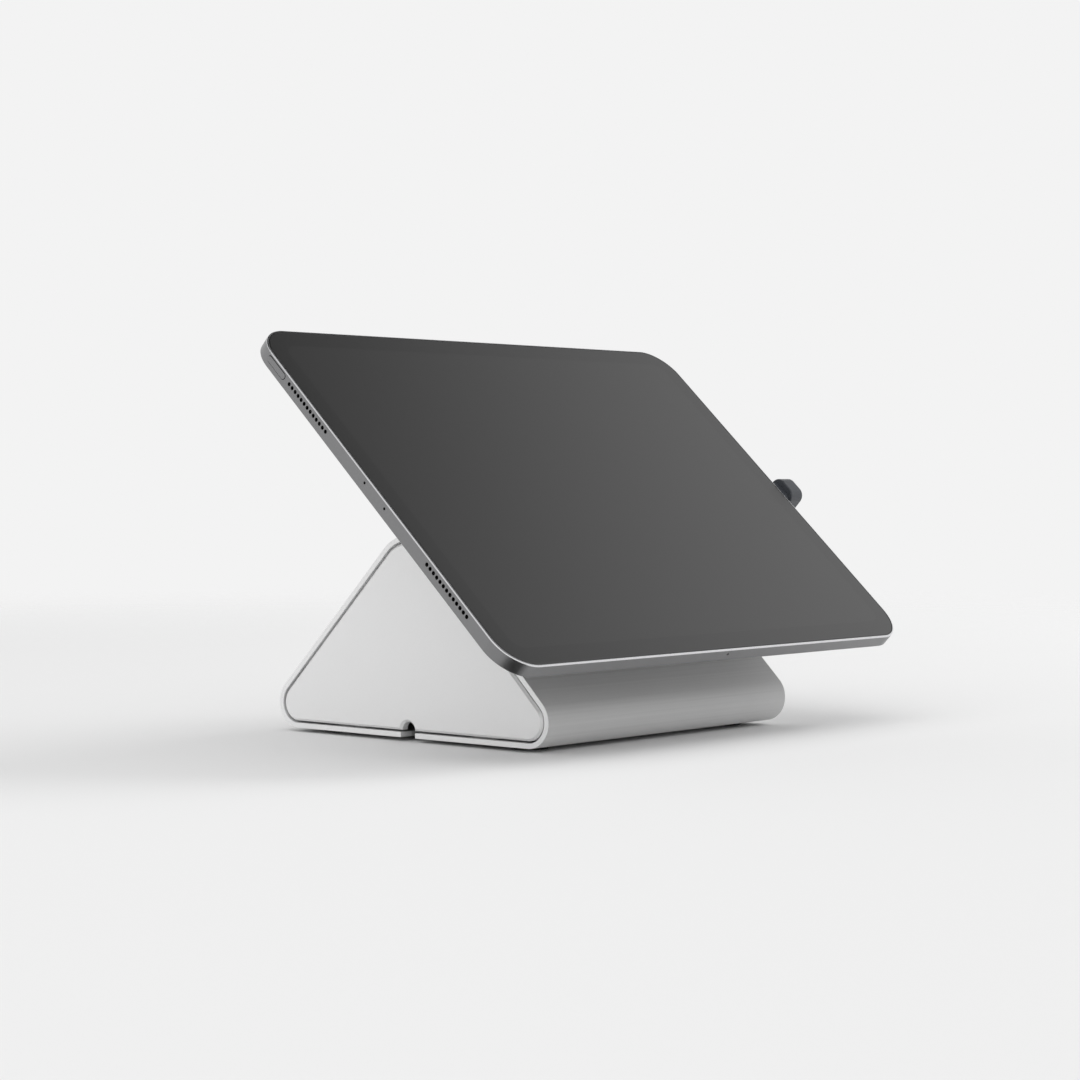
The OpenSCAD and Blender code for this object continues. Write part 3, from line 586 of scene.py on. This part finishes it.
row_start = (1 - SPEAKER_COUNT) / 2 * SPEAKER_PITCH
row = add_bar("row", (0, row_start, EDGE_Z), SPEAKER_D / 2, DRILL, ALONG_X, sides=20)
apply_modifier(row, "ARRAY", count=SPEAKER_COUNT, use_relative_offset=False, use_constant_offset=True,
               constant_offset_displace=(0, SPEAKER_PITCH, 0))
row_y = [end * SPEAKER_Y - SPEAKER_DROP for end in (-1, 1)]
drill(housing, row, [(side * TABLET_W / 2, y, 0) for side in (-1, 1) for y in row_y])
left_hole = add_bar("left_hole", (-TABLET_W / 2, 0, EDGE_Z), MIC_D / 2, DRILL, ALONG_X, sides=20)
drill(housing, left_hole, [(0, -MIC_SPACING / 2, 0), (0, MIC_SPACING / 2, 0)])
lower_place = (LOWER_MIC_X, -TABLET_H / 2, EDGE_Z)
cut(housing, add_bar("lower_hole", lower_place, MIC_D / 2, DRILL, ALONG_Y, sides=20))
print("speaker holes:", 4 * SPEAKER_COUNT)

# %% Button, charging and camera openings
BUTTON_W, BUTTON_GAP = 2.4, 0.2
POWER_L, POWER_Y = 12.0, TABLET_H / 2 - CORNER_R - 4.4
VOLUME_L = 10.5
VOLUME_X = {"volume_up": -TABLET_W / 2 + 33, "volume_down": -TABLET_W / 2 + 48}
cut(housing, slot_bar("power_slot", (-TABLET_W / 2, POWER_Y, EDGE_Z), POWER_L + 2 * BUTTON_GAP,
                      BUTTON_W + 2 * BUTTON_GAP, DRILL, (0, 1, 0), ALONG_X))
volume_slot = slot_bar("volume_slot", (0, TABLET_H / 2, EDGE_Z), VOLUME_L + 2 * BUTTON_GAP,
                       BUTTON_W + 2 * BUTTON_GAP, DRILL, (1, 0, 0), ALONG_Y)
drill(housing, volume_slot, [(x, 0, 0) for x in VOLUME_X.values()])
PORT_W, PORT_H, PORT_DROP = 8.6, 2.7, 2.6
PORT_Z = TABLET_T - PORT_DROP
cut(housing, slot_bar("port", (TABLET_W / 2, 0, PORT_Z), PORT_W, PORT_H, DRILL, (0, 1, 0), ALONG_X))
CAMERA_R, CAMERA_H, CAMERA_INSET = 6.5, 1.2, 16.0
CAMERA_AT = (-TABLET_W / 2 + CAMERA_INSET, TABLET_H / 2 - CAMERA_INSET)
cut(housing, add_bar("camera_hole", (*CAMERA_AT, 0), CAMERA_R - CAMERA_H, DRILL, sides=48))
clean(housing)
finish_piece(housing, ON_TABLET, "tablet", ["tablet_housing"], [grey_anodised, cut_edge])
to_tablet = ON_TABLET.inverted()
for face in housing.data.polygons:
    face.material_index = 1 if (to_tablet @ face.center).z > TABLET_T - FRONT_R else 0
print("bright edge faces:", sum(face.material_index for face in housing.data.polygons))

# %% [markdown]
# ## Glass and its seal
# The glass is a slab with a small round edge that shows as a bright line. Its face is inset by
# the border's width, and the inner part takes the display's finish. The seal is a thin frame.

# %% Cover glass
BEZEL, GLASS_EDGE = 9.0, 0.3
GLASS_Z = TABLET_T - GLASS_T
glass = rounded_slab("screen_glass", GLASS_INSET, GLASS_Z, TABLET_T)
bevel_where(glass, lambda p: p.z > TABLET_T - TINY, GLASS_EDGE, 4)
pick(glass, "FACE", lambda f: f.normal.z > FACING)
bpy.ops.mesh.inset(thickness=BEZEL - GLASS_INSET - GLASS_EDGE)
mesh = bmesh.from_edit_mesh(glass.data)
for face in mesh.faces:
    face.material_index = 1 if face.select else 0
bmesh.update_edit_mesh(glass.data)
bpy.ops.object.mode_set(mode="OBJECT")
finish_piece(glass, ON_TABLET, "tablet", ["cover_glass"], [border_glass, display_glass])

# %% Seal round the glass
SEAL_DROP = 0.15
seal = rounded_slab("glass_seal", FRONT_R + GLASS_RIM, GLASS_Z, TABLET_T - SEAL_DROP)
cut(seal, rounded_slab("seal_core", GLASS_INSET, GLASS_Z - OVER, TABLET_T + OVER))
finish_piece(seal, ON_TABLET, "tablet", ["glass_gasket"], [seal_black])

# %% [markdown]
# ## Buttons
# Each button is a slot-shaped cap of the housing's own metal with a softened rim, standing a
# quarter of a millimetre proud in its opening, with a flange behind the wall that holds it in.
# The two volume buttons are alike: one is modelled and copied.

# %% Buttons
BUTTON_PROUD, BUTTON_EDGE, FLANGE_GAP, FLANGE_T, FLANGE_LIP = 0.25, 0.2, 0.2, 0.6, 0.1
CAP_DEPTH = SIDE_WALL + FLANGE_GAP


def edge_button(name, centre, length, outward, along_edge, turn):
    """A cap that reaches through the wall, with the flange behind it."""
    outward = Vector(outward)
    depth = CAP_DEPTH + BUTTON_PROUD
    middle = Vector(centre) + outward * (BUTTON_PROUD - depth / 2)
    cap = slot_bar(name, middle, length, BUTTON_W, depth, along_edge, turn)
    bevel_where(cap, lambda p: (p - Vector(centre)).dot(outward) > BUTTON_PROUD - TINY, BUTTON_EDGE, 3)
    grip = 2 * (BUTTON_GAP + FLANGE_LIP)
    back = Vector(centre) - outward * (CAP_DEPTH + FLANGE_T / 2)
    flange = slot_bar("flange", back, length + grip, BUTTON_W + grip, FLANGE_T, along_edge, turn)
    weld(cap, flange)
    return cap


power_cap = edge_button("power_cap", (-TABLET_W / 2, POWER_Y, EDGE_Z), POWER_L,
                        (-1, 0, 0), (0, 1, 0), ALONG_X)
finish_piece(power_cap, ON_TABLET, "power_button", ["power_button"], [grey_anodised])
volume_cap = edge_button("volume_cap", (0, TABLET_H / 2, EDGE_Z), VOLUME_L, (0, 1, 0), (1, 0, 0), ALONG_Y)
for word, x in VOLUME_X.items():
    cap = copy_of(volume_cap, word + "_cap", Matrix.Translation((x, 0, 0)))
    finish_piece(cap, ON_TABLET, word + "_button", [word + "_button"], [grey_anodised])
bpy.data.objects.remove(volume_cap)

# %% [markdown]
# ## Charging plug
# A right-angle plug moulded in dark plastic: a slim nose that meets the tablet and a block that
# turns behind it. The block's long edges have a large radius, and its faces meet in a small one.

# %% Charging plug
PLUG_STANDOFF, PLUG_T, PLUG_W, PLUG_ABOVE, PLUG_BEHIND, PLUG_R = 3.9, 8.1, 12.6, 1.9, 12.0, 4.0
NOSE_W, NOSE_H, NOSE_GAP, NOSE_EDGE, PLUG_EDGE = 10.4, 4.2, 0.3, 0.4, 0.5
plug = add_block("plug_moulding", (TABLET_W / 2 + PLUG_STANDOFF, -PLUG_W / 2, -PLUG_BEHIND),
                 (TABLET_W / 2 + PLUG_STANDOFF + PLUG_T, PLUG_W / 2, TABLET_T + PLUG_ABOVE))
bevel_edges(plug, lambda e: reach(e, 0) > TINY, PLUG_R, 10)
bevel_edges(plug, lambda e: reach(e, 0) < TINY, PLUG_EDGE, 3)
nose = slot_bar("nose", (TABLET_W / 2 + (NOSE_GAP + PLUG_STANDOFF) / 2, 0, PORT_Z), NOSE_W, NOSE_H,
                PLUG_STANDOFF - NOSE_GAP, (0, 1, 0), ALONG_X)
bevel_where(nose, lambda p: p.x < TABLET_W / 2 + NOSE_GAP + TINY, NOSE_EDGE, 3)
weld(plug, nose)
clean(plug)
finish_piece(plug, ON_TABLET, "tablet", ["plug_body"], [plug_plastic])

# %% [markdown]
# ## Rear camera
# A turned metal ring round a dark glass. The ring is a short bar with a rounded rim and a hole;
# the glass is stepped by small insets, each sunk or raised, as the stops round a lens are.

# %% Rear camera
ring = add_bar("camera_surround", (*CAMERA_AT, -CAMERA_H / 2), CAMERA_R, CAMERA_H, sides=64)
bevel_where(ring, lambda p: p.z < TINY - CAMERA_H, CAMERA_H / 2, 5)
cut(ring, add_bar("camera_bore", (*CAMERA_AT, 0), CAMERA_R - CAMERA_H, 4 * CAMERA_H, sides=64))
finish_piece(ring, ON_TABLET, "tablet", ["camera_ring"], [grey_anodised])
LENS_GAP, LENS_FRONT, LENS_BACK = 0.05, -0.9, 0.7
LENS_R = CAMERA_R - CAMERA_H - LENS_GAP
# The rim of each stop, and how deep the glass is sunk inside it
LENS_STOPS = ((0.5, 0.2), (1.4, 0.25), (0.6, -0.1))
lens_z = (LENS_FRONT + LENS_BACK) / 2
lens = add_bar("camera_glass", (*CAMERA_AT, lens_z), LENS_R, LENS_BACK - LENS_FRONT, sides=64)
pick(lens, "FACE", lambda f: f.normal.z < -FACING)
for stop_rim, step in LENS_STOPS:
    inset_and_sink(stop_rim, step)
bpy.ops.object.mode_set(mode="OBJECT")
finish_piece(lens, ON_TABLET, "tablet", ["camera_lens"], [lens_glass])

# %% [markdown]
# ## Mounting plate
# A steel plate with the hinge's barrel welded to its back, powder coated. The plate is a block
# with round corners. The barrel is a bar, and the web between them is a block whose upper face
# is widened. They are welded into one solid and bored, and every edge is softened by the coat.

# %% Mounting plate
KNUCKLE_R, PIN_R, PIN_GAP, BUSH_WALL, BARREL_HALF = 7.0, 4.0, 0.05, 1.0, 11.4
PLATE_W, PLATE_H, PLATE_T, PLATE_R, PAD_T = 100.0, 90.0, 3.0, 8.0, 1.0
PLATE_Z = HINGE_TO_TABLET - PAD_T - PLATE_T
COAT_EDGE, WEB_SPREAD = 0.4, 2
plate = rounded_block("tablet_plate", (-PLATE_W / 2, -PLATE_H / 2, PLATE_Z),
                      (PLATE_W / 2, PLATE_H / 2, PLATE_Z + PLATE_T), PLATE_R)
barrel = add_bar("barrel", (0, 0, 0), KNUCKLE_R, 2 * BARREL_HALF, ALONG_X, sides=64)
web = add_block("web", (-BARREL_HALF, -KNUCKLE_R, 0), (BARREL_HALF, KNUCKLE_R, PLATE_Z + TINY))
pick(web, "FACE", lambda f: f.normal.z > FACING)
bpy.ops.transform.resize(value=(1, WEB_SPREAD, 1))
bpy.ops.object.mode_set(mode="OBJECT")
weld(barrel, web)
weld(plate, barrel)
cut(plate, add_bar("bore", (0, 0, 0), PIN_R + PIN_GAP + BUSH_WALL, 3 * BARREL_HALF, ALONG_X, sides=64))
soften(plate, COAT_EDGE, segments=3, degrees=35)
finish_piece(plate, ON_SCREEN, "tablet", ["mounting_plate"], [powder_coat])

# %% [markdown]
# ## Hinge bracket
# A foot on the slope and two ears that hold the bolt. One ear is made from a bar and a block
# whose upper edges are moved on to the bar, and the second ear is its copy.

# %% Hinge bracket
EAR_INNER, EAR_T = 12.0, 10.0
EAR_OUTER = EAR_INNER + EAR_T
EAR_FOOT_LOW, EAR_FOOT_HIGH, WEB_SINK = 31.0, 3.0, 0.6
WEB_R = KNUCKLE_R - WEB_SINK
WEB_FRONT, WEB_REAR = math.radians(115), math.radians(-20)
bracket = rounded_block("slope_bracket", (-BRACKET_W / 2, BRACKET_Y - BRACKET_L / 2, -HINGE_HEIGHT),
                        (BRACKET_W / 2, BRACKET_Y + BRACKET_L / 2, BRACKET_T - HINGE_HEIGHT), BRACKET_T)
ear = add_bar("ear", ((EAR_INNER + EAR_OUTER) / 2, 0, 0), KNUCKLE_R, EAR_T, ALONG_X, sides=64)
web = add_block("web", (EAR_INNER, -EAR_FOOT_LOW, -HINGE_HEIGHT), (EAR_OUTER, -EAR_FOOT_HIGH, 0))
for y, angle in ((-EAR_FOOT_LOW, WEB_FRONT), (-EAR_FOOT_HIGH, WEB_REAR)):
    pick(web, "EDGE", lambda e: all((v.co.yz - Vector((y, 0))).length < TINY for v in e.verts))
    bpy.ops.transform.translate(value=(0, WEB_R * math.cos(angle) - y, WEB_R * math.sin(angle)))
    bpy.ops.object.mode_set(mode="OBJECT")
for part in (bracket, ear, web):
    soften(part, COAT_EDGE, segments=3, degrees=35)
weld(ear, web)
left_ear = copy_of(ear, "left_ear", Matrix.Translation((-EAR_INNER - EAR_OUTER, 0, 0)))
weld(bracket, ear)
weld(bracket, left_ear)
cut(bracket, add_bar("bolt_bore", (0, 0, 0), PIN_R + PIN_GAP, 3 * EAR_OUTER, ALONG_X, sides=64))
THREAD_DEPTH = 4.6
thread = add_bar("thread", (0, BRACKET_Y, -HINGE_HEIGHT), THREAD_R, 2 * THREAD_DEPTH)
drill(bracket, thread, BRACKET_SCREWS)
clean(bracket)
finish_piece(bracket, ON_SLOPE, "base", ["hinge_bracket"], [powder_coat])

# %% [markdown]
# ## Hinge bolt and nut
# A shoulder bolt with a domed rim and a hexagon socket, and a plain hexagon nut with broken
# corners. Each starts as a bar; the nut's bar has six sides.

# %% Hinge bolt and nut
BOLT_HEAD_R, BOLT_HEAD_H, BOLT_HEAD_EDGE, BOLT_END, SOCKET_R, THREAD_EDGE = 6.4, 4.0, 0.8, 30.7, 2.9, 0.5
NUT_START, NUT_H, NUT_R, NUT_TURN = 24.7, 5.0, 7.2, math.radians(30)
head_x = -EAR_OUTER - BOLT_HEAD_H
bolt = add_bar("hinge_bolt", (head_x + BOLT_HEAD_H / 2, 0, 0), BOLT_HEAD_R, BOLT_HEAD_H, ALONG_X, sides=64)
bevel_where(bolt, lambda p: p.x < head_x + TINY, BOLT_HEAD_EDGE, 4)
cut(bolt, add_bar("socket", (head_x, 0, 0), SOCKET_R, BOLT_HEAD_H, ALONG_X, sides=6))
shank_start = -EAR_OUTER - OVER
shank_x = (shank_start + BOLT_END) / 2
shank = add_bar("shank", (shank_x, 0, 0), PIN_R, BOLT_END - shank_start, ALONG_X, sides=64)
bevel_where(shank, lambda p: p.x > BOLT_END - TINY, THREAD_EDGE, 2)
weld(bolt, shank)
finish_piece(bolt, ON_SLOPE, "base", ["hinge_pin"], [ground_steel])
nut = add_bar("hinge_hex_nut", (NUT_START + NUT_H / 2, 0, 0), NUT_R, NUT_H, ALONG_X, sides=6)
nut.data.transform(Matrix.Rotation(NUT_TURN, 4, "X"))
bevel_edges(nut, lambda e: reach(e, 0) < TINY, THREAD_EDGE, 2)
cut(nut, add_bar("nut_bore", (NUT_START, 0, 0), PIN_R + PIN_GAP, 4 * NUT_H, ALONG_X, sides=64))
finish_piece(nut, ON_SLOPE, "base", ["hinge_nut"], [ground_steel])

# %% [markdown]
# ## Pieces kept from the CAD model
# The springs, washers, screws and everything inside already have their right shapes. Each takes the
# finish of its real material.

# %% Finishes for the CAD pieces
CAD_FINISHES = {
    plain_steel: ["panel_screws", "ballast_screws", "bracket_screws", "usb_socket", "plug_contact_shell"],
    dark_steel: ["ballast_plate", "backing_plate"],
    ground_steel: ["disc_springs"],
    washer_brass: ["left_friction_washer", "right_friction_washer"],
    bush_polymer: ["hinge_bush"],
    pad_foam: ["adhesive_pad"],
    cell_wrap: ["left_battery", "right_battery"],
    board_mask: ["logic_board"],
    module_plastic: ["upper_left_speaker", "lower_left_speaker", "upper_right_speaker",
                     "lower_right_speaker", "power_switch", "volume_switch"],
    display_glass: ["display_panel"],
}
for finish, nodes in CAD_FINISHES.items():
    for node in nodes:
        materials = frame["nodes"][node].data.materials
        materials.clear()
        materials.append(finish)
print("CAD pieces finished:", sum(len(nodes) for nodes in CAD_FINISHES.values()))

# %% [markdown]
# ## Floor
# The object stands on a pale floor that fades out with distance, so that no horizon shows.

# %% Floor
FLOOR_SIZE, FADE_START, FADE_END = 12.0, 0.45, 1.3
clear_selection()
bpy.ops.mesh.primitive_plane_add(size=FLOOR_SIZE, location=(0, 0, -FOOT_HEIGHT * MM))
floor = name_piece("floor")
floor_paint = bpy.data.materials.new("matt_white_floor")
floor_paint.use_nodes = True
tree = floor_paint.node_tree
paint = tree.nodes["Principled BSDF"]
paint.inputs["Base Color"].default_value = linear("#f0f0f0")
paint.inputs["Roughness"].default_value = 0.9
paint.inputs["Specular IOR Level"].default_value = 0.0
place = add_node(tree, "ShaderNodeTexCoord").outputs["Object"]
away = add_node(tree, "ShaderNodeVectorMath", links={0: place}, operation="LENGTH")
fade = add_node(tree, "ShaderNodeMapRange", {"From Min": FADE_START, "From Max": FADE_END},
                {"Value": away.outputs["Value"]}, interpolation_type="SMOOTHSTEP")
clear = add_node(tree, "ShaderNodeBsdfTransparent")
faded = add_node(tree, "ShaderNodeMixShader", links={
    0: fade.outputs["Result"], 1: paint.outputs["BSDF"], 2: clear.outputs["BSDF"]})
tree.links.new(faded.outputs[0], tree.nodes["Material Output"].inputs["Surface"])
floor.data.materials.append(floor_paint)
print("floor fades from", FADE_START, "to", FADE_END, "m")

# %% [markdown]
# ## A black card
# Product photographers lay a black card beside bright metal to give it one dark accent. This one
# lies by the tablet's near corner. It is hidden from the camera and casts no shadow, so that it
# shows only where the metal mirrors it.

# %% Black card
CARD_T = 0.1
CARD_LOW, CARD_HIGH = (-155, -126, -FOOT_HEIGHT), (-112, -86, -FOOT_HEIGHT + CARD_T)
card = add_block("black_card", CARD_LOW, CARD_HIGH)
card.data.transform(Matrix.Scale(MM, 4))
black_felt = bpy.data.materials.new("black_felt")
black_felt.use_nodes = True
felt = black_felt.node_tree.nodes["Principled BSDF"]
felt.inputs["Base Color"].default_value = linear("#0a0a0a")
felt.inputs["Roughness"].default_value = 1.0
card.data.materials.append(black_felt)
card.visible_camera = False
card.visible_diffuse = False
card.visible_shadow = False
print("card size in mm:", [b - a for a, b in zip(CARD_LOW, CARD_HIGH)])

# %% [markdown]
# ## Surround
# The pale surround shows its full white only to the eye and to reflections, so that it doesn't
# flood the object with light, and it is darker overhead, which gives the glass its gradient.

# %% Surround
# The surround's strength as a fill light, and the tone that it falls to overhead
FILL, SHADE_TONE = 0.69, 0.05
# The upward part of a direction where that shade starts, and where it is full
SHADE_START, SHADE_END = 0.58, 0.74
world = bpy.data.worlds.new("studio")
bpy.context.scene.world = world
world.use_nodes = True
tree = world.node_tree
tree.nodes.clear()
rays = add_node(tree, "ShaderNodeLightPath")
seen = add_node(tree, "ShaderNodeMath", operation="MAXIMUM")
tree.links.new(rays.outputs["Is Camera Ray"], seen.inputs[0])
tree.links.new(rays.outputs["Is Glossy Ray"], seen.inputs[1])
way = add_node(tree, "ShaderNodeTexCoord").outputs["Generated"]
upward = add_node(tree, "ShaderNodeSeparateXYZ", links={"Vector": way}).outputs["Z"]
shade = add_node(tree, "ShaderNodeMapRange", {
    "From Min": SHADE_START, "From Max": SHADE_END, "To Min": 1.0, "To Max": SHADE_TONE,
}, {"Value": upward}, interpolation_type="SMOOTHSTEP").outputs["Result"]
lit = add_node(tree, "ShaderNodeBackground", {"Color": linear("#ffffff"), "Strength": FILL})
shown = add_node(tree, "ShaderNodeBackground", {"Color": linear("#f3f3f3")}, {"Strength": shade})
mixed = add_node(tree, "ShaderNodeMixShader", links={
    0: seen.outputs[0], 1: lit.outputs[0], 2: shown.outputs[0]})
add_node(tree, "ShaderNodeOutputWorld", links={"Surface": mixed.outputs[0]})
print("surround's fill:", FILL, "of full white")

# %% [markdown]
# ## Lamps
# The key lamp on the right casts the long shadow to the left, and a weak lamp fills that side.
# Both are hidden from reflections, so that they make no spots in the glass. A wide lamp overhead
# draws the bright line along the tablet's edge.

# %% Lamps
AIM = Vector((0, 0, 0.05))


def soft_lamp(name, place, size, power, in_reflections):
    """A round area lamp that faces the object; sizes in metres, power in watts."""
    lamp = bpy.data.objects.new(name, bpy.data.lights.new(name, "AREA"))
    lamp.data.shape = "DISK"
    lamp.data.size = size
    lamp.data.energy = power
    lamp.location = place
    lamp.rotation_euler = (AIM - Vector(place)).to_track_quat("-Z", "Y").to_euler()
    lamp.visible_glossy = in_reflections
    bpy.context.scene.collection.objects.link(lamp)
    print(name, "at", place, "m")


soft_lamp("key_lamp", (2.4, -0.85, 1.4), size=1.7, power=29, in_reflections=False)
soft_lamp("side_lamp", (-1.5, 0.3, 1.0), size=1.4, power=2.5, in_reflections=False)
soft_lamp("top_lamp", (-0.9, -0.5, 2.0), size=2.2, power=8, in_reflections=True)

# %% [markdown]
# ## Camera
# The camera stands where the photograph was taken from. Its place, its aim and its focal length
# were fitted to the corners of the tablet and to the edges of the base.

# %% Camera
CAMERA_AT_M = (-0.7813, -0.67825, 0.10078)
YAW, PITCH = math.radians(49.15), math.radians(1.45)
FOCAL_PX, PHOTO_PX, SENSOR_MM = 2553.23, 1080, 36
camera = bpy.data.objects.new("camera", bpy.data.cameras.new("camera"))
camera.location = CAMERA_AT_M
camera.rotation_euler = (math.radians(90) - PITCH, 0, -YAW)
camera.data.sensor_width = SENSOR_MM
camera.data.lens = SENSOR_MM * FOCAL_PX / PHOTO_PX
bpy.context.scene.collection.objects.link(camera)
bpy.context.scene.camera = camera
bpy.context.scene.view_settings.view_transform = "Standard"
print("lens:", round(camera.data.lens, 1), "mm")
